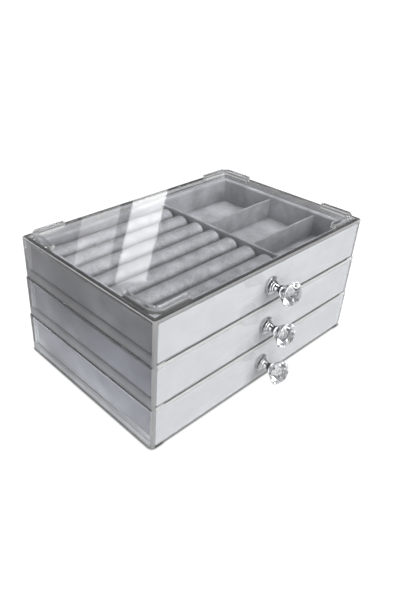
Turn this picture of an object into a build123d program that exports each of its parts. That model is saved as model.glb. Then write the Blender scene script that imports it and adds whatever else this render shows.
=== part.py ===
import os
from math import atan2, cos, radians, sin

from build123d import *

os.makedirs("parts", exist_ok=True)

# A clear three-drawer jewelry box: three equal stackable cases, each with one lined drawer.
# Frame: millimetres, +Z up, +X to the right seen from the front, +Y to the back.
# The origin is the middle of the footprint, on the surface that the lowest case stands on.

# Stack
tier_names = ("bottom", "middle", "top")
tier_height = 35.7

# Case: one moulding with a top plate, three walls, a raised floor and an open front
case_width = 235.0
case_depth = 154.0
case_draft = 0.6
case_wall = 2.8
case_top_plate = 2.4
case_floor = 1.2
case_corner_radius = 2.6
case_top_edge_radius = 1.2

# Stacking ribs on the top plate, which nest inside the skirt of the case above
rib_height = 3.8
rib_width = 4.2
rib_leg = 32.0
rib_corner_cut = 6.0
rib_end_radius = 0.5
nest_clearance = 0.4

# Feet that turn round the two front corners below the drawer front
foot_length = 11.0
foot_height = 1.0

# Clearances of a drawer in its case
side_clearance = 0.5
running_clearance = 0.25
top_clearance = 0.5
back_clearance = 1.0
apron_clearance = 0.3

# Drawer front: a clear panel over a velvet-covered card
panel_thickness = 2.0
panel_corner_radius = 1.5
panel_edge_radius = 0.5
card_thickness = 1.2
card_margin = 0.2

# Drawer tray: one clear moulding of even wall
tray_wall = 1.6
tray_corner_radius = 2.0
tray_top_drop = 2.0

# Velvet-covered liner that stands in the tray
liner_clearance = 0.3
liner_wall = 5.0
liner_floor = 1.2
liner_drop = 1.2
liner_outer_radius = 1.5
liner_inner_radius = 1.0
liner_top_radius = 1.5

# Loose boards that divide a liner
board_thickness = 2.0
board_clearance = 0.2
board_edge_radius = 0.6
board_height = 18.6
board_slot_clearance = 0.2

# Ring rolls of the top drawer
roll_count = 7
roll_height = 18.0
roll_gap = 0.4
roll_end_gap = 1.4
roll_wall_gap = 0.5
roll_seat_gap = 0.2
roll_base_draw_in = 1.2
roll_end_radius = 1.6

# Places of the boards, measured from the middle of the box
partition_x = 22.0
front_divider_y = -37.5
rear_divider_y = 10.5
middle_cross_share = 1 / 3

# Knob: a turned base, a faceted crystal and a screw from inside the drawer
knob_drop = 0.7
knob_step_radii = (7.4, 6.7, 6.0)
knob_step_heights = (0.8, 1.4, 2.0)
knob_flare_radius = 5.4
knob_waist_radius = 2.6
knob_waist_height = 7.0
knob_cup_lip = 0.4
knob_cup_height = 8.6
knob_base_length = 9.4
knob_bore_end_wall = 1.4
crystal_radius = 10.0
crystal_neck_radius = 3.2
crystal_table_radius = 5.6
crystal_pavilion = 8.2
crystal_girdle = 0.9
crystal_crown = 3.8
screw_radius = 1.5
screw_head_radius = 3.0
screw_head_height = 2.0
screw_head_edge_radius = 0.7
screw_clearance = 0.25
screw_tip_clearance = 0.5
liner_hole_radius = 4.6

# Facets of the crystal: number, turn within one step, slope as a share of the main slope,
# then the distance from the axis and the height at which the facet's plane passes.
# Distances are shares of the crystal's radius, heights of the crown or of the pavilion.
crown_facet_shares = (
    (8, 0.0, 1.0, 1.0, 0.0),
    (8, 0.5, 0.55, 0.5, 1.0),
    (16, 0.5, 1.3, 0.98, 0.0),
)
pavilion_facet_shares = (
    (8, 0.0, 1.0, 1.0, 0.0),
    (16, 0.5, 1.1, 0.985, 0.0),
)

# One overrun for every cut
overrun = 5.0

# Sizes worked out from those above
skirt_height = rib_height + nest_clearance
rib_inset = case_draft + case_wall + nest_clearance
bay_half_width = case_width / 2 - case_draft - case_wall
bay_back_y = case_depth / 2 - case_draft - case_wall
bay_bottom = skirt_height + case_floor
bay_top = tier_height - case_top_plate
bay_height = bay_top - bay_bottom

front_y = -(case_depth / 2 - case_draft)
card_y = front_y + panel_thickness
tray_front_y = card_y + card_thickness
floor_front_y = tray_front_y + apron_clearance

panel_bottom = foot_height + apron_clearance
panel_top = bay_top - top_clearance
panel_half_width = bay_half_width - side_clearance
panel_middle = (panel_bottom + panel_top) / 2

tray_bottom = bay_bottom + running_clearance
tray_top = panel_top - tray_top_drop
tray_half_width = bay_half_width - side_clearance
tray_back_y = bay_back_y - back_clearance
tray_depth = tray_back_y - tray_front_y
tray_middle_y = (tray_front_y + tray_back_y) / 2

liner_bottom = tray_bottom + tray_wall
liner_top = tray_top - liner_drop
liner_margin = tray_wall + liner_clearance
liner_half_width = tray_half_width - liner_margin
liner_depth = tray_depth - 2 * liner_margin
hollow_half_width = liner_half_width - liner_wall
hollow_depth = liner_depth - 2 * liner_wall
hollow_front_y = tray_middle_y - hollow_depth / 2
hollow_back_y = tray_middle_y + hollow_depth / 2
hollow_bottom = liner_bottom + liner_floor

roll_pitch = (hollow_depth - 2 * roll_wall_gap + roll_gap) / roll_count
roll_width = roll_pitch - roll_gap
roll_left_x = -hollow_half_width + roll_wall_gap
roll_right_x = partition_x - board_thickness / 2 - roll_end_gap
roll_length = roll_right_x - roll_left_x
roll_crown_radius = roll_width / 2
roll_belly_height = roll_height - roll_crown_radius
roll_base_half = roll_crown_radius - roll_base_draw_in

knob_height = panel_middle - knob_drop
crystal_seat_y = front_y - knob_base_length
girdle_back_y = crystal_seat_y - crystal_pavilion
girdle_front_y = girdle_back_y - crystal_girdle
crystal_length = crystal_pavilion + crystal_girdle + crystal_crown
crown_slope = atan2(crystal_crown, crystal_radius - crystal_table_radius)
pavilion_slope = atan2(crystal_pavilion, crystal_radius - crystal_neck_radius)
knob_cup_radius = crystal_neck_radius + knob_cup_lip
screw_grip = panel_thickness + card_thickness + tray_wall
knob_bore_depth = knob_base_length - knob_bore_end_wall
screw_length = screw_grip + knob_bore_depth - screw_tip_clearance


def top_edges(solid):
    """The edges of a solid's highest level face."""
    return solid.faces().filter_by(Axis.Z).sort_by(Axis.Z)[-1].edges()


def facet_planes(facet_shares, edge_y, outward, height, main_slope):
    """One plane for each facet of half a crystal, with its normal pointing out of the stone."""
    planes = []
    for count, turn_share, slope_share, radius_share, height_share in facet_shares:
        for step in range(count):
            turn = radians((step + turn_share) * 360 / count)
            tilt = main_slope * slope_share
            radial = Vector(cos(turn), 0, sin(turn))
            along = Vector(0, outward, 0)
            point = radial * (crystal_radius * radius_share) + along * (height * height_share)
            normal = radial * sin(tilt) + along * cos(tilt)
            planes.append((Vector(0, edge_y, 0) + point, normal))
    return planes


# The three cases
for tier, tier_name in enumerate(tier_names):
    base = tier * tier_height
    with BuildPart() as case:
        with BuildSketch(Plane.XY.offset(base)):
            RectangleRounded(case_width - 2 * case_draft, case_depth - 2 * case_draft, case_corner_radius)
        with BuildSketch(Plane.XY.offset(base + tier_height)):
            RectangleRounded(case_width, case_depth, case_corner_radius)
        loft()
        fillet(top_edges(case.part), case_top_edge_radius)

        # Drawer bay, open at the front
        bay_depth = bay_back_y + case_depth / 2 + overrun
        with BuildSketch(Plane.XY.offset(base + bay_bottom)):
            with Locations((0, bay_back_y - bay_depth / 2)):
                Rectangle(2 * bay_half_width, bay_depth)
        extrude(amount=bay_height, mode=Mode.SUBTRACT)

        # Hollow of the skirt under the floor, which takes the ribs of the case below
        with BuildSketch(Plane.XY.offset(base - overrun)):
            with Locations((0, bay_back_y - bay_depth / 2)):
                Rectangle(2 * bay_half_width, bay_depth)
        extrude(amount=overrun + skirt_height, mode=Mode.SUBTRACT)

        # Room in front of the floor for the drawer front that hangs over it
        apron_depth = floor_front_y + case_depth / 2 + overrun
        with BuildSketch(Plane.XY.offset(base)):
            with Locations((0, floor_front_y - apron_depth / 2)):
                Rectangle(2 * bay_half_width, apron_depth)
        extrude(amount=bay_top, mode=Mode.SUBTRACT)

        # Feet that return round the front corners
        foot_reach = foot_length - case_draft - case_wall
        with BuildSketch(Plane.XY.offset(base)):
            for side in (-1, 1):
                with Locations((side * (bay_half_width - foot_reach / 2), front_y + case_wall / 2)):
                    Rectangle(foot_reach, case_wall)
        extrude(amount=foot_height)

        # Stacking ribs: a ring with cut corners, left standing only round the four corners
        with BuildSketch(Plane.XY.offset(base + tier_height)) as rib_sketch:
            Rectangle(case_width - 2 * rib_inset, case_depth - 2 * rib_inset)
            chamfer(rib_sketch.vertices(), rib_corner_cut)
            inner_width = case_width - 2 * rib_inset - 2 * rib_width
            inner_depth = case_depth - 2 * rib_inset - 2 * rib_width
            RectangleRounded(inner_width, inner_depth, rib_corner_cut, mode=Mode.SUBTRACT)
            Rectangle(case_width - 2 * (rib_inset + rib_leg), case_depth, mode=Mode.SUBTRACT)
            Rectangle(case_width, case_depth - 2 * (rib_inset + rib_leg), mode=Mode.SUBTRACT)
        extrude(amount=rib_height)
        rib_ends = case.edges().filter_by(Axis.Z).filter_by_position(
            Axis.Z, base + tier_height, base + tier_height + rib_height
        )
        leg_end_x = case_width / 2 - rib_inset - rib_leg
        leg_end_y = case_depth / 2 - rib_inset - rib_leg
        fillet(
            [
                edge
                for edge in rib_ends
                if abs(abs(edge.center().X) - leg_end_x) < nest_clearance
                or abs(abs(edge.center().Y) - leg_end_y) < nest_clearance
            ],
            rib_end_radius,
        )
    case.part.label = f"{tier_name}_case"
    export_step(case.part, f"parts/{tier_name}_case.step")


# The three drawers, without what lies in them
for tier, tier_name in enumerate(tier_names):
    base = tier * tier_height
    knob_z = base + knob_height
    knob_plane = Plane(origin=(0, front_y, knob_z), x_dir=(1, 0, 0), z_dir=(0, 1, 0))
    knob_section = Plane(origin=(0, front_y, knob_z), x_dir=(1, 0, 0), z_dir=(0, 0, -1))
    knob_axis = Axis((0, front_y, knob_z), (0, -1, 0))

    with BuildPart() as panel:
        panel_plane = Plane(
            origin=(0, front_y, base + panel_middle), x_dir=(1, 0, 0), z_dir=(0, -1, 0)
        )
        with BuildSketch(panel_plane):
            RectangleRounded(2 * panel_half_width, panel_top - panel_bottom, panel_corner_radius)
        extrude(amount=-panel_thickness)
        fillet(panel.faces().sort_by(Axis.Y)[0].edges(), panel_edge_radius)
        with BuildSketch(knob_plane):
            Circle(screw_radius + screw_clearance)
        extrude(amount=panel_thickness, mode=Mode.SUBTRACT)
    panel.part.label = f"{tier_name}_front_panel"
    export_step(panel.part, f"parts/{tier_name}_front_panel.step")

    with BuildPart() as card:
        card_plane = Plane(
            origin=(0, card_y, base + panel_middle), x_dir=(1, 0, 0), z_dir=(0, -1, 0)
        )
        with BuildSketch(card_plane):
            Rectangle(
                2 * (panel_half_width - card_margin), panel_top - panel_bottom - 2 * card_margin
            )
        extrude(amount=-card_thickness)
        with BuildSketch(knob_plane.offset(panel_thickness)):
            Circle(screw_radius + screw_clearance)
        extrude(amount=card_thickness, mode=Mode.SUBTRACT)
    card.part.label = f"{tier_name}_front_card"
    export_step(card.part, f"parts/{tier_name}_front_card.step")

    with BuildPart() as tray:
        with BuildSketch(Plane.XY.offset(base + tray_bottom)):
            with Locations((0, tray_middle_y)):
                RectangleRounded(2 * tray_half_width, tray_depth, tray_corner_radius)
        extrude(amount=tray_top - tray_bottom)
        offset(amount=-tray_wall, openings=tray.faces().sort_by(Axis.Z)[-1])
        with BuildSketch(knob_plane.offset(panel_thickness + card_thickness)):
            Circle(screw_radius + screw_clearance)
        extrude(amount=tray_wall, mode=Mode.SUBTRACT)
    tray.part.label = f"{tier_name}_tray"
    export_step(tray.part, f"parts/{tier_name}_tray.step")

    with BuildPart() as liner:
        with BuildSketch(Plane.XY.offset(base + liner_bottom)):
            with Locations((0, tray_middle_y)):
                RectangleRounded(2 * liner_half_width, liner_depth, liner_outer_radius)
        extrude(amount=liner_top - liner_bottom)
        with BuildSketch(Plane.XY.offset(base + hollow_bottom)):
            with Locations((0, tray_middle_y)):
                RectangleRounded(2 * hollow_half_width, hollow_depth, liner_inner_radius)
        extrude(amount=liner_top - hollow_bottom, mode=Mode.SUBTRACT)
        fillet(top_edges(liner.part), liner_top_radius)
        with BuildSketch(knob_plane.offset(screw_grip)):
            Circle(liner_hole_radius)
        extrude(amount=liner_clearance + liner_wall + overrun, mode=Mode.SUBTRACT)
    liner.part.label = f"{tier_name}_liner"
    export_step(liner.part, f"parts/{tier_name}_liner.step")

    # Turned knob base: a stepped rim, a waist and a cup that holds the crystal
    with BuildPart() as knob_base:
        with BuildSketch(knob_section):
            with BuildLine():
                outline = [(0, knob_base_length), (0, 0)]
                step_start = 0
                for step_radius, step_end in zip(knob_step_radii, knob_step_heights):
                    outline += [(step_radius, step_start), (step_radius, step_end)]
                    step_start = step_end
                outline += [(knob_flare_radius, step_start)]
                Polyline(*outline)
                flare_mid = (
                    (knob_flare_radius + 3 * knob_waist_radius) / 4,
                    (step_start + knob_waist_height) / 2,
                )
                ThreePointArc(
                    (knob_flare_radius, step_start),
                    flare_mid,
                    (knob_waist_radius, knob_waist_height),
                )
                Polyline(
                    (knob_waist_radius, knob_waist_height),
                    (knob_cup_radius, knob_cup_height),
                    (knob_cup_radius, knob_base_length),
                    (0, knob_base_length),
                )
            make_face()
        revolve(axis=knob_axis)
        with BuildSketch(knob_plane):
            Circle(screw_radius + screw_clearance)
        extrude(amount=-knob_bore_depth, mode=Mode.SUBTRACT)
    knob_base.part.label = f"{tier_name}_knob_base"
    export_step(knob_base.part, f"parts/{tier_name}_knob_base.step")

    # Brilliant-cut crystal: a round rod with its facets cut one plane at a time
    with BuildPart() as crystal:
        with BuildSketch(knob_plane.offset(-knob_base_length)):
            Circle(crystal_radius)
        extrude(amount=-crystal_length)
        facets = facet_planes(
            crown_facet_shares, girdle_front_y, -1, crystal_crown, crown_slope
        )
        facets += facet_planes(
            pavilion_facet_shares, girdle_back_y, 1, crystal_pavilion, pavilion_slope
        )
        stone_size = 2 * (crystal_radius + crystal_length)
        for point, normal in facets:
            facet_plane = Plane(origin=point + Vector(0, 0, knob_z), z_dir=normal)
            with BuildSketch(facet_plane):
                Rectangle(stone_size, stone_size)
            extrude(amount=stone_size, mode=Mode.SUBTRACT)
    crystal.part.label = f"{tier_name}_knob_crystal"
    export_step(crystal.part, f"parts/{tier_name}_knob_crystal.step")

    with BuildPart() as screw:
        with BuildSketch(knob_plane.offset(screw_grip)):
            Circle(screw_head_radius)
        extrude(amount=screw_head_height)
        fillet(screw.edges().sort_by(Axis.Y)[-1], screw_head_edge_radius)
        with BuildSketch(knob_plane.offset(screw_grip)):
            Circle(screw_radius)
        extrude(amount=-screw_length)
    screw.part.label = f"{tier_name}_knob_screw"
    export_step(screw.part, f"parts/{tier_name}_knob_screw.step")


# Top drawer: ring rolls on the left
top_base = (len(tier_names) - 1) * tier_height
for roll in range(roll_count):
    roll_y = hollow_front_y + roll_wall_gap + roll_width / 2 + roll * roll_pitch
    roll_plane = Plane(
        origin=(roll_left_x, roll_y, top_base + hollow_bottom + roll_seat_gap),
        x_dir=(0, 1, 0),
        z_dir=(1, 0, 0),
    )
    with BuildPart() as ring_roll:
        with BuildSketch(roll_plane):
            with BuildLine():
                base_line = Line((-roll_base_half, 0), (roll_base_half, 0))
                right_crown = CenterArc((0, roll_belly_height), roll_crown_radius, 0, 90)
                left_crown = CenterArc((0, roll_belly_height), roll_crown_radius, 90, 90)
                TangentArc(right_crown @ 0, base_line @ 1, tangent=(0, -1))
                TangentArc(left_crown @ 1, base_line @ 0, tangent=(0, -1))
            make_face()
        extrude(amount=roll_length)
        fillet(ring_roll.faces().filter_by(Axis.X).edges(), roll_end_radius)
    ring_roll.part.label = f"ring_roll_{roll + 1}"
    export_step(ring_roll.part, f"parts/ring_roll_{roll + 1}.step")

# Top drawer: the partition beside the rolls and two dividers to its right
board_fit = hollow_depth - 2 * board_clearance
with BuildPart() as partition:
    with BuildSketch(Plane.XY.offset(top_base + hollow_bottom)):
        with Locations((partition_x, tray_middle_y)):
            Rectangle(board_thickness, board_fit)
    extrude(amount=board_height)
    fillet(top_edges(partition.part), board_edge_radius)
partition.part.label = "top_partition"
export_step(partition.part, "parts/top_partition.step")

divider_left_x = partition_x + board_thickness / 2 + board_clearance
divider_right_x = hollow_half_width - board_clearance
for divider_name, divider_y in (("front", front_divider_y), ("rear", rear_divider_y)):
    with BuildPart() as divider:
        with BuildSketch(Plane.XY.offset(top_base + hollow_bottom)):
            with Locations(((divider_left_x + divider_right_x) / 2, divider_y)):
                Rectangle(divider_right_x - divider_left_x, board_thickness)
        extrude(amount=board_height)
        fillet(top_edges(divider.part), board_edge_radius)
    divider.part.label = f"top_{divider_name}_divider"
    export_step(divider.part, f"parts/top_{divider_name}_divider.step")

# Middle drawer: one long board and two cross boards that slot over each other
middle_base = tier_height
cross_x = hollow_half_width * middle_cross_share
slot_width = board_thickness + 2 * board_slot_clearance
slot_half = board_height / 2
with BuildPart() as long_board:
    with BuildSketch(Plane.XY.offset(middle_base + hollow_bottom)):
        with Locations((0, tray_middle_y)):
            Rectangle(2 * (hollow_half_width - board_clearance), board_thickness)
    extrude(amount=board_height)
    with BuildSketch(Plane.XY.offset(middle_base + hollow_bottom + slot_half)):
        with Locations((-cross_x, tray_middle_y), (cross_x, tray_middle_y)):
            Rectangle(slot_width, board_thickness)
    extrude(amount=slot_half, mode=Mode.SUBTRACT)
long_board.part.label = "middle_long_divider"
export_step(long_board.part, "parts/middle_long_divider.step")

for cross_name, side in (("left", -1), ("right", 1)):
    with BuildPart() as cross_board:
        with BuildSketch(Plane.XY.offset(middle_base + hollow_bottom)):
            with Locations((side * cross_x, tray_middle_y)):
                Rectangle(board_thickness, board_fit)
        extrude(amount=board_height)
        with BuildSketch(Plane.XY.offset(middle_base + hollow_bottom)):
            with Locations((side * cross_x, tray_middle_y)):
                Rectangle(board_thickness, slot_width)
        extrude(amount=slot_half, mode=Mode.SUBTRACT)
    cross_board.part.label = f"middle_{cross_name}_divider"
    export_step(cross_board.part, f"parts/middle_{cross_name}_divider.step")

# Bottom drawer: one board across the middle
with BuildPart() as bottom_board:
    with BuildSketch(Plane.XY.offset(hollow_bottom)):
        with Locations((0, tray_middle_y)):
            Rectangle(board_thickness, board_fit)
    extrude(amount=board_height)
    fillet(top_edges(bottom_board.part), board_edge_radius)
bottom_board.part.label = "bottom_divider"
export_step(bottom_board.part, "parts/bottom_divider.step")
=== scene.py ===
# %% [markdown]
# # A clear three-tier jewelry box
# The shapes of the box come from its CAD model. This lesson dresses that model: it sets up the
# camera, the floor and the light, gives every piece its finish, and remakes the soft ring rolls
# by a cloth simulation. Everything is in metres, with Z up and the front of the box towards -Y.

# %% Load the model
import math

import bpy
from mathutils import Matrix, Vector


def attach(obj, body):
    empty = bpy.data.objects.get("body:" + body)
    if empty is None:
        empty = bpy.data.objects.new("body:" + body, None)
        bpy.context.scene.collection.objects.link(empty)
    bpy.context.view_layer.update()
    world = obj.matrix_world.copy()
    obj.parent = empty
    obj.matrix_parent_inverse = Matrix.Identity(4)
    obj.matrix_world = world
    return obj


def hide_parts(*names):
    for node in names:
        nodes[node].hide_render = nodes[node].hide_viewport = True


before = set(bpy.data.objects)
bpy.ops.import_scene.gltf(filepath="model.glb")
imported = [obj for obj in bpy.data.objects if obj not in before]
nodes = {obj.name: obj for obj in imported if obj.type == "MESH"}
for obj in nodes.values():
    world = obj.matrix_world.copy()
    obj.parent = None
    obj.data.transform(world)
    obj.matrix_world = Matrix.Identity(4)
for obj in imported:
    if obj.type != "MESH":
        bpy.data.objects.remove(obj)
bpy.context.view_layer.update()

scene = bpy.context.scene
scene.view_settings.view_transform = "Standard"
for left_over in ("Cube", "Light", "Camera"):
    if left_over in bpy.data.objects:
        bpy.data.objects.remove(bpy.data.objects[left_over])

# %% [markdown]
# ## The camera
# The picture was taken from the front left and a little above. A camera could be placed by eye,
# but then every later comparison would be off by some pixels. So its place, its turn and its lens
# were worked out from the box's own corners, and are simply written down here.

# %% Camera
image_width, image_height = 401, 601
sensor = 36.0
focal_pixels = 575.33
principal_x, principal_y = 148.507, 261.751
camera_azimuth = math.radians(-42.056)
camera_elevation = math.radians(28.841)
camera_roll = math.radians(0.944)
camera_place = Vector((-0.311076, -0.285416, 0.305724))

camera_data = bpy.data.cameras.new("camera")
camera_data.sensor_width = sensor
camera_data.lens = focal_pixels / image_height * sensor
camera_data.shift_x = (image_width / 2 - principal_x) / image_height
camera_data.shift_y = (principal_y - image_height / 2) / image_height
camera_data.clip_start = 0.01
camera = bpy.data.objects.new("camera", camera_data)
scene.collection.objects.link(camera)
back = Vector((
    math.sin(camera_azimuth) * math.cos(camera_elevation),
    -math.cos(camera_azimuth) * math.cos(camera_elevation),
    math.sin(camera_elevation),
))
level_right = Vector((math.cos(camera_azimuth), math.sin(camera_azimuth), 0))
level_up = back.cross(level_right)
right = math.cos(camera_roll) * level_right + math.sin(camera_roll) * level_up
up = math.cos(camera_roll) * level_up - math.sin(camera_roll) * level_right
camera_turn = Matrix((right, up, back)).transposed().to_4x4()
camera.matrix_world = Matrix.Translation(camera_place) @ camera_turn
scene.camera = camera
print("lens:", round(camera_data.lens, 2), "mm")

# %% [markdown]
# ## Small tools for node trees
# Every finish below is a tree of nodes. Written out in full, each node takes several lines, so a few
# small tools shorten this. Most of them make masks: values that are 1 in one place and 0 elsewhere.

# %% Making materials and nodes


def new_finish(name):
    """A material with an empty node tree, and its output node."""
    finish = bpy.data.materials.new(name)
    finish.use_nodes = True
    finish.node_tree.nodes.clear()
    return finish, finish.node_tree.nodes.new("ShaderNodeOutputMaterial")


def add(tree, kind, **values):
    """A node of this kind, with inputs set or linked. i0 is the first input, _ stands for a space."""
    node = tree.nodes.new("ShaderNode" + kind)
    for key, value in values.items():
        by_number = key[0] == "i" and key[1:].isdigit()
        socket = node.inputs[int(key[1:]) if by_number else key.replace("_", " ")]
        if isinstance(value, bpy.types.NodeSocket):
            tree.links.new(value, socket)
        else:
            socket.default_value = value
    return node


def grey_of(level):
    """A grey colour of this level."""
    return (level, level, level, 1)


print("tools for materials and nodes ready")

# %% Masks


def math_node(tree, operation, first, second):
    """A Math node's output for two sockets or numbers."""
    node = add(tree, "Math", i0=first, i1=second)
    node.operation = operation
    return node.outputs[0]


def over(tree, value, limit):
    """1 where a value is above a limit, else 0."""
    return math_node(tree, "GREATER_THAN", value, limit)


def under(tree, value, limit):
    """1 where a value is below a limit, else 0."""
    return math_node(tree, "LESS_THAN", value, limit)


def both(tree, first, *others):
    """The product of masks."""
    for other in others:
        first = math_node(tree, "MULTIPLY", first, other)
    return first


def either(tree, first, *others):
    """The largest of masks or values."""
    for other in others:
        first = math_node(tree, "MAXIMUM", first, other)
    return first


def xyz(tree, vector):
    """The X, Y and Z outputs of a vector."""
    return add(tree, "SeparateXYZ", Vector=vector).outputs


def absolute(tree, vector):
    """A vector without its signs."""
    node = add(tree, "VectorMath", i0=vector)
    node.operation = "ABSOLUTE"
    return node.outputs[0]


def between(tree, share, low, high):
    """low where a share is 0, high where it is 1."""
    return add(tree, "MapRange", Value=share, To_Min=low, To_Max=high).outputs[0]


def seen_rays(tree):
    """1 for rays that show the surroundings: straight to the eye, by a mirror or through glass."""
    path = add(tree, "LightPath").outputs
    eye_or_mirror = math_node(tree, "ADD", path["Is Camera Ray"], path["Is Glossy Ray"])
    every = add(tree, "Math", i0=eye_or_mirror, i1=path["Is Transmission Ray"])
    every.use_clamp = True
    return every.outputs[0]


print("tools for masks ready")

# %% [markdown]
# ## Floor and surroundings
# The box stands on white, with hardly any shadow. Stronger lamps would make a pale floor white too,
# but then the box itself would be too bright. So the floor is an ordinary grey surface for the light
# that bounces off it. To the eye, and in mirrors and clear plastic, it glows, so that it comes out
# white. The glow fades where the box is close above the floor, and that leaves the thin dark line of
# a thing that stands on a table.

# %% Floor
floor_half = 12.0
floor_drop = 0.0002
contact_reach = 0.003
bounce_grey, lit_grey = 0.5, 0.1
covered_glow, open_glow = 0.03, 1.0
glow_stops = ((0.5, 0.1), (0.64, 0.32), (0.8, 0.9))

floor_mesh = bpy.data.meshes.new("floor")
floor_corners = [(x * floor_half, y * floor_half, 0) for x, y in ((-1, -1), (1, -1), (1, 1), (-1, 1))]
floor_mesh.from_pydata(floor_corners, [], [(0, 1, 2, 3)])
floor = bpy.data.objects.new("floor", floor_mesh)
scene.collection.objects.link(floor)
floor.location.z = -floor_drop

floor_finish, floor_out = new_finish("white_floor")
tree = floor_finish.node_tree
paper = add(tree, "BsdfDiffuse", Color=grey_of(bounce_grey))
lit_paper = add(tree, "BsdfDiffuse", Color=grey_of(lit_grey))
openness = add(tree, "AmbientOcclusion", Distance=contact_reach)
glow_level = add(tree, "ValToRGB", Fac=openness.outputs["AO"])
glow_ramp = glow_level.color_ramp.elements
for end, level in enumerate((covered_glow, open_glow)):
    glow_ramp[end].color = grey_of(level)
for stop, level in glow_stops:
    glow_ramp.new(stop).color = grey_of(level)
glow = add(tree, "Emission", Color=glow_level.outputs[0], Strength=1.0)
bright_paper = add(tree, "AddShader", i0=lit_paper.outputs[0], i1=glow.outputs[0])
by_ray = add(tree, "MixShader", Fac=seen_rays(tree), i1=paper.outputs[0], i2=bright_paper.outputs[0])
tree.links.new(by_ray.outputs[0], floor_out.inputs["Surface"])
floor_mesh.materials.append(floor_finish)
print("floor:", 2 * floor_half, "m wide")

# %% World
room_strength = 0.3
ceiling_grey = 0.1
ceiling_height = 0.5

world = bpy.data.worlds.new("studio")
world.use_nodes = True
scene.world = world
tree = world.node_tree
tree.nodes.clear()
room_light = add(tree, "Background", Color=grey_of(1), Strength=room_strength)
height = xyz(tree, add(tree, "TexCoord").outputs["Generated"])["Z"]
wall_to_ceiling = add(tree, "MapRange", Value=height, From_Min=0.0, From_Max=ceiling_height,
                      To_Min=1.0, To_Max=ceiling_grey)
wall_to_ceiling.interpolation_type = "SMOOTHSTEP"
white_room = add(tree, "Background", Color=wall_to_ceiling.outputs[0], Strength=1.0)
room = add(tree, "MixShader", Fac=seen_rays(tree), i1=room_light.outputs[0], i2=white_room.outputs[0])
add(tree, "OutputWorld", Surface=room.outputs[0])
scene.cycles.max_bounces = 48
scene.cycles.transmission_bounces = 48
scene.cycles.glossy_bounces = 16
scene.cycles.transparent_max_bounces = 32
print("world made")

# %% [markdown]
# ## Lamps
# Soft boxes, as in a product studio: a broad one above and in front lights the drawer fronts, a faint
# one on the left lights the liners through the side walls, and a smaller one overhead the inside. Two
# tall panes stand behind, like windows: the clear top mirrors them as one bright and one dim strip.
# An image of a room could light the box as well, but lamps can be moved one by one, until each
# reflection sits right.

# %% Lamps


def area_lamp(name, size, power):
    """A rectangular lamp, not yet placed."""
    data = bpy.data.lights.new(name, "AREA")
    data.shape = "RECTANGLE"
    data.size, data.size_y = size
    data.energy = power
    lamp = bpy.data.objects.new(name, data)
    scene.collection.objects.link(lamp)
    return lamp


def soft_box(name, place, size, power):
    """An area lamp at a place that points at the middle of the box."""
    lamp = area_lamp(name, size, power)
    lamp.location = place
    lamp.rotation_euler = (box_middle - Vector(place)).to_track_quat("-Z", "Y").to_euler()


def tall_pane(name, foot, head, width, radiance):
    """A tall narrow lamp behind the box that faces the front, from foot to head."""
    foot, head = Vector(foot), Vector(head)
    long_way = (head - foot).normalized()
    out_way = Vector((0, 1, 0))
    across = long_way.cross(out_way)
    length = (head - foot).length
    lamp = area_lamp(name, (width, length), radiance * math.pi * width * length)
    turn = Matrix((across, long_way, out_way)).transposed().to_4x4()
    lamp.matrix_world = Matrix.Translation((foot + head) / 2) @ turn


box_middle = Vector((0, 0, 0.05))
soft_box("front_box", place=(-0.15, -1.6, 0.85), size=(2.6, 1.4), power=43)
soft_box("side_box", place=(-1.6, 0.1, 0.5), size=(1.2, 0.8), power=4)
soft_box("top_box", place=(0.35, 0.2, 1.6), size=(0.7, 0.7), power=18)
pane_width = 0.2
tall_pane("bright_pane", (1.37, 1.5, 0.68), (1.187, 1.5, 1.305), pane_width, radiance=3.7)
tall_pane("dim_pane", (1.08, 1.5, 0.70), (0.968, 1.5, 1.142), pane_width, radiance=1.2)
print("lamps:", len(bpy.data.lights))

# %% [markdown]
# ## Clear plastic
# The cases, the trays and the drawer fronts are moulded from clear plastic about 2 mm thick. A glass
# shader bends light as the real walls do. Lamps could not reach the inside through it, because a
# bent ray rarely ends on a lamp, so for shadow rays the plastic counts as a clear film. Faint smears
# in the roughness and hairline scratches keep the gloss from looking too perfect.
#
# Real mouldings also look hazy in places, and here that haze also carries painted light and shade.
# Rounded edges, ribs and plate edges gather light from all around, which would take very many bounces
# to render. There the finish turns partly into plain grey plastic, whose grey paints in light on some
# places and shade on others: pale on corners and plate fronts, dark on level edges and rims, and
# darkest along the foot, as a painted contact shadow. Masks from the place and the slope of the
# surface say where.

# %% Where the plastic is hazy and painted light and dark
tier_height, box_height = 0.0357, 0.107
edge_x, edge_y = 0.1137, 0.0732
front_edge_y, back_wall_y = -0.0745, 0.073
lid_bottom, rib_bottom, sill_top = 0.1047, 0.1073, 0.006
face_on = 0.9
nearly_level = 0.25
faces_front = -0.3
round_from, round_to = 0.985, 0.9
rib_grey_share, back_grey_share = 0.5, 0.25


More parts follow.
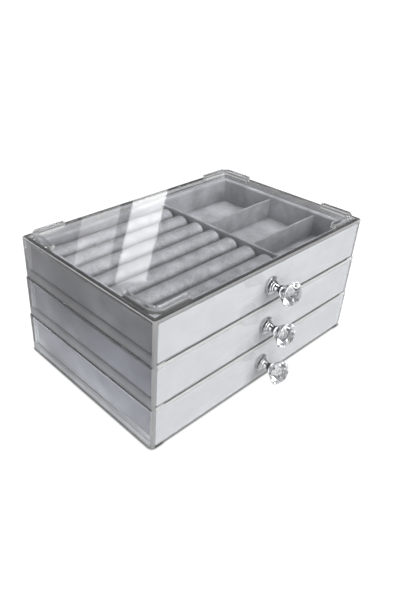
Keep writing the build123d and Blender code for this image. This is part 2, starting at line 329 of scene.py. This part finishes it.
def haze_and_shade_places(tree, place):
    """Masks of the hazy places with painted light and shade, by name. Later ones lie over earlier
    ones.
    """
    normal = add(tree, "NewGeometry").outputs["Normal"]
    facing = xyz(tree, normal)
    turned = xyz(tree, absolute(tree, normal))
    where = xyz(tree, place)
    reach = xyz(tree, absolute(tree, place))
    outer = either(tree, over(tree, reach["X"], edge_x), over(tree, reach["Y"], edge_y))
    flat = either(tree, turned["X"], turned["Y"], turned["Z"])
    curve = add(tree, "MapRange", Value=flat, From_Min=round_from, From_Max=round_to)
    rounded = both(tree, outer, curve.outputs[0])
    upright = under(tree, turned["Z"], nearly_level)
    front = both(tree, under(tree, where["Y"], front_edge_y), under(tree, facing["Y"], faces_front))
    front_plate = both(tree, front, under(tree, reach["X"], edge_x))
    back_face = both(tree, over(tree, where["Y"], back_wall_y), over(tree, turned["Y"], face_on))
    return {
        "corner": both(tree, rounded, upright),
        "edge": both(tree, rounded, over(tree, turned["Z"], nearly_level)),
        "rib": both(tree, upright, over(tree, where["Z"], rib_bottom), rib_grey_share),
        "front": front,
        "plate": both(tree, front_plate, under(tree, where["Z"], lid_bottom)),
        # The sill along the foot is painted shade: a dark contact line where the box stands.
        "sill": both(tree, front_plate, under(tree, where["Z"], sill_top)),
        "lid": both(tree, front, over(tree, where["Z"], lid_bottom)),
        "rim": both(tree, outer, over(tree, facing["Z"], face_on)),
        "back": both(tree, back_face, back_grey_share),
    }


print("hazy places: corners, edges, ribs, front edges, rim and back")

# %% [markdown]
# The side walls are thin and cloudy, so the velvet behind them shows softly. Their tint also carries
# painted light: it is darkest at the top and pale near the table. Just above each seam no liner stands
# behind the wall, only the floor of the drawer, and there the cloud is thicker, with a band of painted
# shade, so that the wall looks even from seam to seam. The tint is paler towards the front, painted
# light that makes up for the darker look of the liner there. All this could be painted in an image on
# the walls, but masks from height and depth need no image and stay sharp up close.

# %% Cloudy side walls with painted light and shade
stripe_low, stripe_high = 0.0012, 0.0078
wall_grey_share, stripe_grey_share = 0.15, 1.0
stripe_shade = 0.68
cloud_scale = 24.0
cloud_dark, cloud_light = 0.75, 1.1
near_y = -0.065
far_light, near_light = 0.95, 1.22
fully_clear = (1.0, 1.0, 1.0)
# The wall tint from the table up: partly the plastic's smoke, partly painted light, pale low down and
# darkest at the top.
wall_tint_and_light_low = (0.94, 0.965, 1.0, 1)
wall_tint_and_light_middle = (0.55, 0.563, 0.61, 1)
wall_tint_and_light_high = (0.42, 0.415, 0.42, 1)


def cloudy_shaded_sides(tree, place):
    """The mask of the side walls, the share of it that is hazy, and their cloudy tint with painted
    light and shade.
    """
    turned = xyz(tree, absolute(tree, add(tree, "NewGeometry").outputs["Normal"]))
    reach = xyz(tree, absolute(tree, place))
    in_tier = math_node(tree, "MODULO", reach["Z"], tier_height)
    stripe = both(tree, over(tree, in_tier, stripe_low), under(tree, in_tier, stripe_high))
    walls = both(tree, over(tree, reach["X"], edge_x), over(tree, turned["X"], face_on))
    grey_share_mask = both(tree, walls, between(tree, stripe, wall_grey_share, stripe_grey_share))
    noise = add(tree, "TexNoise", Vector=place, Scale=cloud_scale, Detail=3.0, Roughness=0.5)
    cloud = add(tree, "MapRange", Value=noise.outputs["Fac"], From_Min=0.3, From_Max=0.7,
                To_Min=cloud_dark, To_Max=cloud_light)
    nearness = add(tree, "MapRange", Value=xyz(tree, place)["Y"], From_Min=0.0, From_Max=near_y,
                   To_Min=far_light, To_Max=near_light)
    seam_shade = between(tree, stripe, 1.0, stripe_shade)
    lightness = both(tree, cloud.outputs[0], seam_shade, nearness.outputs[0])
    tint = add(tree, "ValToRGB", Fac=math_node(tree, "DIVIDE", reach["Z"], box_height))
    tint.color_ramp.elements[0].color = wall_tint_and_light_low
    tint.color_ramp.elements[1].color = wall_tint_and_light_high
    tint.color_ramp.elements.new(0.5).color = wall_tint_and_light_middle
    cloud_and_light = add(tree, "VectorMath", i0=tint.outputs[0], i1=lightness)
    cloud_and_light.operation = "MULTIPLY"
    capped = add(tree, "VectorMath", i0=cloud_and_light.outputs[0], i1=fully_clear)
    capped.operation = "MINIMUM"
    return walls, grey_share_mask, capped.outputs[0]


print("side walls from", wall_tint_and_light_low[:3], "to", wall_tint_and_light_high[:3])

# %% Clear plastic
smear_scale = 38.0
scratch_scale = 420.0
scratch_stretch, scratch_turn = (1.0, 9.0, 1.0), (0, 0, 0.4)
scratch_strength, scratch_depth = 0.004, 0.0004
film_grey = 0.93
full_grey_share = 0.5


def clear_plastic(name, tint, smear, bend, haze_and_shade_greys=None):
    """Clear moulded plastic with faint smears and fine scratches.

    smear is the range of roughness, bend the index of refraction, and haze_and_shade_greys the grey of
    each hazy place, which paints in light and shade."""
    finish, out = new_finish(name)
    tree = finish.node_tree
    place = add(tree, "TexCoord").outputs["Object"]
    smears = add(tree, "TexNoise", Vector=place, Scale=smear_scale, Detail=4.0, Roughness=0.6)
    gloss = add(tree, "MapRange", Value=smears.outputs["Fac"], From_Min=0.35, From_Max=0.75,
                To_Min=smear[0], To_Max=smear[1])
    stretch = add(tree, "Mapping", Vector=place, Scale=scratch_stretch, Rotation=scratch_turn)
    scratches = add(tree, "TexNoise", Vector=stretch.outputs[0], Scale=scratch_scale, Detail=2.0)
    relief = add(tree, "Bump", Height=scratches.outputs["Fac"], Strength=scratch_strength,
                 Distance=scratch_depth)
    plastic = add(tree, "BsdfPrincipled", Base_Color=tint, Roughness=gloss.outputs[0],
                  Normal=relief.outputs[0], Transmission_Weight=1.0, IOR=bend)
    if haze_and_shade_greys:
        paint_haze_and_shade(tree, place, plastic, tint, haze_and_shade_greys)
    film = add(tree, "BsdfTransparent", Color=grey_of(film_grey))
    shadow = add(tree, "LightPath").outputs["Is Shadow Ray"]
    mix = add(tree, "MixShader", Fac=shadow, i1=plastic.outputs[0], i2=film.outputs[0])
    tree.links.new(mix.outputs[0], out.inputs["Surface"])
    return finish


def paint_haze_and_shade(tree, place, plastic, tint, haze_and_shade_greys):
    """Cloudy side walls and hazy places, with their painted light and shade, for a clear plastic."""
    walls, grey_share_mask, cloud_and_light = cloudy_shaded_sides(tree, place)
    colour = add(tree, "MixRGB", Fac=walls, Color1=tint, Color2=cloud_and_light).outputs[0]
    for name, mask in haze_and_shade_places(tree, place).items():
        grey_share_mask = either(tree, grey_share_mask, mask)
        colour = add(tree, "MixRGB", Fac=mask, Color1=colour, Color2=grey_of(haze_and_shade_greys[name])).outputs[0]
    tree.links.new(colour, plastic.inputs["Base Color"])
    clearness = between(tree, grey_share_mask, 1.0, 1.0 - full_grey_share)
    tree.links.new(clearness, plastic.inputs["Transmission Weight"])


clear = (0.95, 0.96, 0.97, 1)
smoky = (0.70, 0.705, 0.715, 1)
# Greys of the hazy places, which paint in light and shade: plate fronts and corners pale, edges and
# rims dark, and the sill darkest, as a painted contact shadow. The top case has greys of its own.
case_haze_and_shade = {
    "corner": 0.62, "edge": 0.10, "rib": 0.4, "front": 0.42, "plate": 0.85,
    "sill": 0.04, "lid": 0.42, "rim": 0.18, "back": 0.3,
}
top_haze_and_shade = case_haze_and_shade | {"edge": 0.5, "rim": 0.08}
case_plastic = clear_plastic("case_plastic", smoky, smear=(0.01, 0.05), bend=1.28, haze_and_shade_greys=case_haze_and_shade)
top_case_plastic = clear_plastic("top_case_plastic", smoky, smear=(0.0, 0.02), bend=1.28,
                                 haze_and_shade_greys=top_haze_and_shade)
panel_plastic = clear_plastic("panel_plastic", clear, smear=(0.01, 0.05), bend=1.45)
tray_plastic = clear_plastic("tray_plastic", clear, smear=(0.02, 0.07), bend=1.2)
print("clear plastics: case, top case, panel and tray")

# %% [markdown]
# ## Velvet
# The liners, the boards and the ring rolls are covered in short grey velvet, and the cards behind the
# drawer fronts in a paler one. The pile leans here one way and there another, so it is mottled in
# patches, broadest on the liners, and it shines at a grazing angle. An image of cloth would repeat,
# so two noises do this: a broad one for the patches and a very fine one for the tips of the pile.
#
# On the ring rolls the colour carries painted shade. Light falls on them from the front, so what faces
# the back is painted darker, and so is the valley between two rolls, where little light gets in. The
# slope of the surface and its depth under the crest say how dark the shade is painted there.

# %% Velvet
lit_facing, shaded_facing = -0.65, 0.35
crown_drop, valley_drop = 0.0035, 0.006


def painted_roll_shade(tree, place, back_shade, crest):
    """Painted shade for the rolls: 1 where they face the front, down to back_shade at the back and
    back_shade again in the valleys.
    """
    facing = xyz(tree, add(tree, "NewGeometry").outputs["Normal"])["Y"]
    slope_shade = add(tree, "MapRange", Value=facing, From_Min=lit_facing, From_Max=shaded_facing,
               To_Min=1.0, To_Max=back_shade)
    valley = add(tree, "MapRange", Value=xyz(tree, place)["Z"], From_Min=crest - crown_drop,
                 From_Max=crest - valley_drop, To_Min=1.0, To_Max=back_shade)
    return both(tree, slope_shade.outputs[0], valley.outputs[0])


def velvet(name, deep, light, patch_scale, pile_scale, pile_depth, sheen, back_shade=None, crest=0.0):
    """Short-pile velvet between two shades, with leaning patches and fine pile.

    back_shade is the painted shade of what faces the back and of the valleys, and crest the height of
    the highest line."""
    finish, out = new_finish(name)
    tree = finish.node_tree
    place = add(tree, "TexCoord").outputs["Object"]
    patches = add(tree, "TexNoise", Vector=place, Scale=patch_scale, Detail=3.0, Roughness=0.55)
    pile = add(tree, "TexNoise", Vector=place, Scale=pile_scale, Detail=2.0, Roughness=0.7)
    blend = add(tree, "MixRGB", Fac=0.5, Color1=patches.outputs["Fac"], Color2=pile.outputs["Fac"])
    shade = add(tree, "ValToRGB", Fac=blend.outputs[0])
    for element, position, end_colour in zip(shade.color_ramp.elements, (0.32, 0.68), (deep, light)):
        element.position = position
        element.color = end_colour
    colour = shade.outputs[0]
    if back_shade:
        roll_shaded = add(tree, "VectorMath", i0=colour, i1=painted_roll_shade(tree, place, back_shade, crest))
        roll_shaded.operation = "MULTIPLY"
        colour = roll_shaded.outputs[0]
    relief = add(tree, "Bump", Height=pile.outputs["Fac"], Strength=0.5, Distance=pile_depth)
    cloth = add(tree, "BsdfPrincipled", Base_Color=colour, Roughness=0.92,
                Normal=relief.outputs[0], Sheen_Weight=sheen, Sheen_Roughness=0.35,
                Specular_IOR_Level=0.2)
    tree.links.new(cloth.outputs[0], out.inputs["Surface"])
    return finish


grey_velvet = velvet("grey_velvet", deep=(0.24, 0.24, 0.252, 1), light=(0.48, 0.482, 0.505, 1),
                     patch_scale=110.0, pile_scale=1900.0, pile_depth=0.0005, sheen=0.1)
# The liner velvet is paler at its light end than the grey velvet: painted light for the liners, which
# get little light inside the drawers.
liner_velvet = velvet("liner_velvet", deep=(0.19, 0.19, 0.2, 1), light=(0.62, 0.625, 0.655, 1),
                      patch_scale=42.0, pile_scale=1900.0, pile_depth=0.0005, sheen=0.1)
pale_velvet = velvet("pale_velvet", deep=(0.76, 0.765, 0.78, 1), light=(0.84, 0.845, 0.86, 1),
                     patch_scale=90.0, pile_scale=1500.0, pile_depth=0.0003, sheen=0.05)
print("velvets: grey, liner and pale")

# %% [markdown]
# ## Chrome and steel
# The base of a knob is a plated casting: nearly a mirror, with faint polishing marks. Between its
# steps run fine turned grooves. To model them would take a very fine mesh, so a wave of the distance
# from the axis makes them as bumps, and the same wave paints dark lines all round the axis into the
# colour: a painted reflection. The cup round the stone is painted darker, a painted reflection of the
# stone. The screw inside is plain steel with turned marks.

# %% Chrome and steel
knob_height = 0.01635
groove_pitch = 0.0009
groove_depth = 0.00012
groove_painted_dark = (0.08, 0.08, 0.085, 1)
groove_from, groove_to = -0.9, 0.3
cup_y = -0.084
cup_painted_dark = 0.75


def turned_grooves(tree, place):
    """A wave that runs outwards from the axis of each knob."""
    where = xyz(tree, place)
    in_tier = math_node(tree, "MODULO", where["Z"], tier_height)
    above = math_node(tree, "SUBTRACT", in_tier, knob_height)
    off_axis = add(tree, "CombineXYZ", X=where["X"], Y=above)
    radius = add(tree, "VectorMath", i0=off_axis.outputs[0])
    radius.operation = "LENGTH"
    turns = math_node(tree, "MULTIPLY", radius.outputs["Value"], math.tau / groove_pitch)
    return math_node(tree, "SINE", turns, 0.0)


def metal(name, colour, rough_low, rough_high, mark_scale, grooves=False):
    """Bare metal whose roughness wanders between two values along fine marks."""
    finish, out = new_finish(name)
    tree = finish.node_tree
    place = add(tree, "TexCoord").outputs["Object"]
    stretch = add(tree, "Mapping", Vector=place, Scale=(1.0, 6.0, 1.0))
    marks = add(tree, "TexNoise", Vector=stretch.outputs[0], Scale=mark_scale, Detail=3.0)
    rough = add(tree, "MapRange", Value=marks.outputs["Fac"], From_Min=0.3, From_Max=0.7,
                To_Min=rough_low, To_Max=rough_high)
    relief = add(tree, "Bump", Height=marks.outputs["Fac"], Strength=0.04, Distance=0.0002)
    skin = add(tree, "BsdfPrincipled", Base_Color=colour, Roughness=rough.outputs[0], Metallic=1.0)
    # Grooves: bumps, plus dark lines and a darker cup painted into the colour as reflections.
    if grooves:
        wave = turned_grooves(tree, place)
        relief = add(tree, "Bump", Height=wave, Strength=0.6, Distance=groove_depth,
                     Normal=relief.outputs[0])
        crest = add(tree, "MapRange", Value=wave, From_Min=groove_from, From_Max=groove_to)
        in_cup = under(tree, xyz(tree, place)["Y"], cup_y)
        cup_darkening = math_node(tree, "MULTIPLY", in_cup, cup_painted_dark)
        bright = math_node(tree, "SUBTRACT", crest.outputs[0], cup_darkening)
        grooved = add(tree, "MixRGB", Fac=bright, Color1=groove_painted_dark, Color2=colour)
        tree.links.new(grooved.outputs[0], skin.inputs["Base Color"])
    tree.links.new(relief.outputs[0], skin.inputs["Normal"])
    tree.links.new(skin.outputs[0], out.inputs["Surface"])
    return finish


chrome = metal("chrome", (0.66, 0.67, 0.68, 1), 0.04, 0.10, mark_scale=300.0, grooves=True)
screw_steel = metal("screw_steel", (0.52, 0.52, 0.54, 1), 0.25, 0.42, mark_scale=900.0)
print("metals: chrome and screw steel")

# %% [markdown]
# ## Crystal
# The crystal is a cut piece of clear resin with a higher index than the walls, so that it sparkles. In
# a real room its facets mirror many light and dark things over and over. Such things could stand
# around the box here, but then the clear walls would mirror them as well. So the stone's back gets a
# painted reflection, a mosaic of light and dark cells, and its neck, which the cup shades, gets
# painted shade.

# %% Crystal
girdle_y, neck_y = -0.0942, -0.0895
crystal_index = 1.7
mosaic_scale = 480.0
painted_reflection_stops = ((0.32, (0.03, 0.03, 0.034, 1)), (0.62, (0.97, 0.98, 1.0, 1)))
front_tint = (0.93, 0.94, 0.96, 1)
neck_shade, neck_shade_share = (0.05, 0.05, 0.055, 1), 0.8

crystal, crystal_out = new_finish("cut_crystal")
tree = crystal.node_tree
place = add(tree, "TexCoord").outputs["Object"]
polish = add(tree, "TexNoise", Vector=place, Scale=500.0, Detail=2.0)
crystal_rough = between(tree, polish.outputs["Fac"], 0.0, 0.03)
cells = add(tree, "TexVoronoi", Vector=place, Scale=mosaic_scale)
cell_chance = add(tree, "SeparateColor", Color=cells.outputs["Color"])
cell_shade = add(tree, "ValToRGB", Fac=cell_chance.outputs[0])
for element, (position, colour) in zip(cell_shade.color_ramp.elements, painted_reflection_stops):
    element.position = position
    element.color = colour
depth = xyz(tree, place)["Y"]
behind_girdle = over(tree, depth, girdle_y)
near_neck = math_node(tree, "MULTIPLY", over(tree, depth, neck_y), neck_shade_share)
stone = add(tree, "MixRGB", Fac=behind_girdle, Color1=front_tint, Color2=cell_shade.outputs[0])
stone = add(tree, "MixRGB", Fac=near_neck, Color1=stone.outputs[0], Color2=neck_shade)
gem = add(tree, "BsdfPrincipled", Base_Color=stone.outputs[0], Roughness=crystal_rough,
          Transmission_Weight=1.0, IOR=crystal_index)
tree.links.new(gem.outputs[0], crystal_out.inputs["Surface"])
print("crystal of index", crystal_index)

# %% [markdown]
# ## Dressing the model
# Each CAD node keeps its shape and gets its finish by the last words of its name. A list of all the
# names would do as well, but this way all three tiers are dressed alike. The top case comes after
# the plain cases, because its name ends like theirs.

# %% Finishes by name
finish_by_ending = {
    "case": case_plastic,
    "top_case": top_case_plastic,
    "tray": tray_plastic,
    "front_panel": panel_plastic,
    "liner": liner_velvet,
    "partition": grey_velvet,
    "divider": grey_velvet,
    "front_card": pale_velvet,
    "knob_base": chrome,
    "knob_crystal": crystal,
    "knob_screw": screw_steel,
}
for name, node in nodes.items():
    for ending, finish in finish_by_ending.items():
        if name.endswith(ending):
            node.data.materials.clear()
            node.data.materials.append(finish)
print("dressed nodes:", sum(len(n.data.materials) > 0 for n in nodes.values()))

# %% [markdown]
# ## Ring rolls
# A ring roll is a strip of foam rolled up in velvet. It is soft, so its CAD solid is only a start. It
# could be sculpted by hand, but a simulation swells all seven in the same way: a copy is remeshed into
# even small faces, drawn in a little, and blown up as cloth until its cover is tight. The move of each
# point is capped, so that a roll never meets its neighbour.

# %% Velvet of the rolls
roll_names = sorted(n for n in nodes if n.startswith("ring_roll_"))
roll_crest = max(corner[2] for corner in nodes[roll_names[0]].bound_box)
roll_velvet = velvet("roll_velvet", deep=(0.25, 0.25, 0.262, 1), light=(0.57, 0.572, 0.6, 1),
                     patch_scale=110.0, pile_scale=850.0, pile_depth=0.0005, sheen=0.1,
                     back_shade=0.55, crest=roll_crest)
print("ring rolls reach", round(roll_crest, 4))

# %% Ring rolls
roll_voxel = 0.0016
roll_draw_in = 0.0005
roll_move_cap = 0.0006
roll_pressure = 4.0
roll_frames = 14


def soft_roll(node_name):
    """A padded copy of a ring roll, blown up by cloth simulation."""
    node = nodes[node_name]
    roll = bpy.data.objects.new(node_name + "_padded", node.data.copy())
    scene.collection.objects.link(roll)
    bpy.context.view_layer.objects.active = roll
    remesh = roll.modifiers.new("even_faces", "REMESH")
    remesh.mode = "VOXEL"
    remesh.voxel_size = roll_voxel
    bpy.ops.object.modifier_apply(modifier=remesh.name)
    mesh = roll.data
    for vertex in mesh.vertices:
        vertex.co -= vertex.normal * roll_draw_in
    start = [v.co.copy() for v in mesh.vertices]
    blow_up(roll, start)
    smoother = roll.modifiers.new("smoother", "SUBSURF")
    smoother.levels = smoother.render_levels = 1
    for face in mesh.polygons:
        face.use_smooth = True
    mesh.materials.clear()
    mesh.materials.append(roll_velvet)
    return roll


def blow_up(roll, start):
    """Cloth simulation with pressure. No point ends farther than the cap from its start."""
    cloth = roll.modifiers.new("blown_up", "CLOTH")
    cloth.settings.use_pressure = True
    cloth.settings.uniform_pressure_force = roll_pressure
    cloth.settings.effector_weights.gravity = 0.0
    cloth.settings.quality = 4
    cloth.point_cache.frame_start = 1
    cloth.point_cache.frame_end = roll_frames
    for step in range(1, roll_frames + 1):
        scene.frame_set(step)
    bpy.ops.object.modifier_apply(modifier=cloth.name)
    for vertex, home in zip(roll.data.vertices, start):
        move = vertex.co - home
        if move.length > roll_move_cap:
            vertex.co = home + move * (roll_move_cap / move.length)
    scene.frame_set(1)


for roll_name in roll_names:
    roll = soft_roll(roll_name)
    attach(roll, "top_drawer")
    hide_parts(roll_name)
print("ring rolls:", len(roll_names))
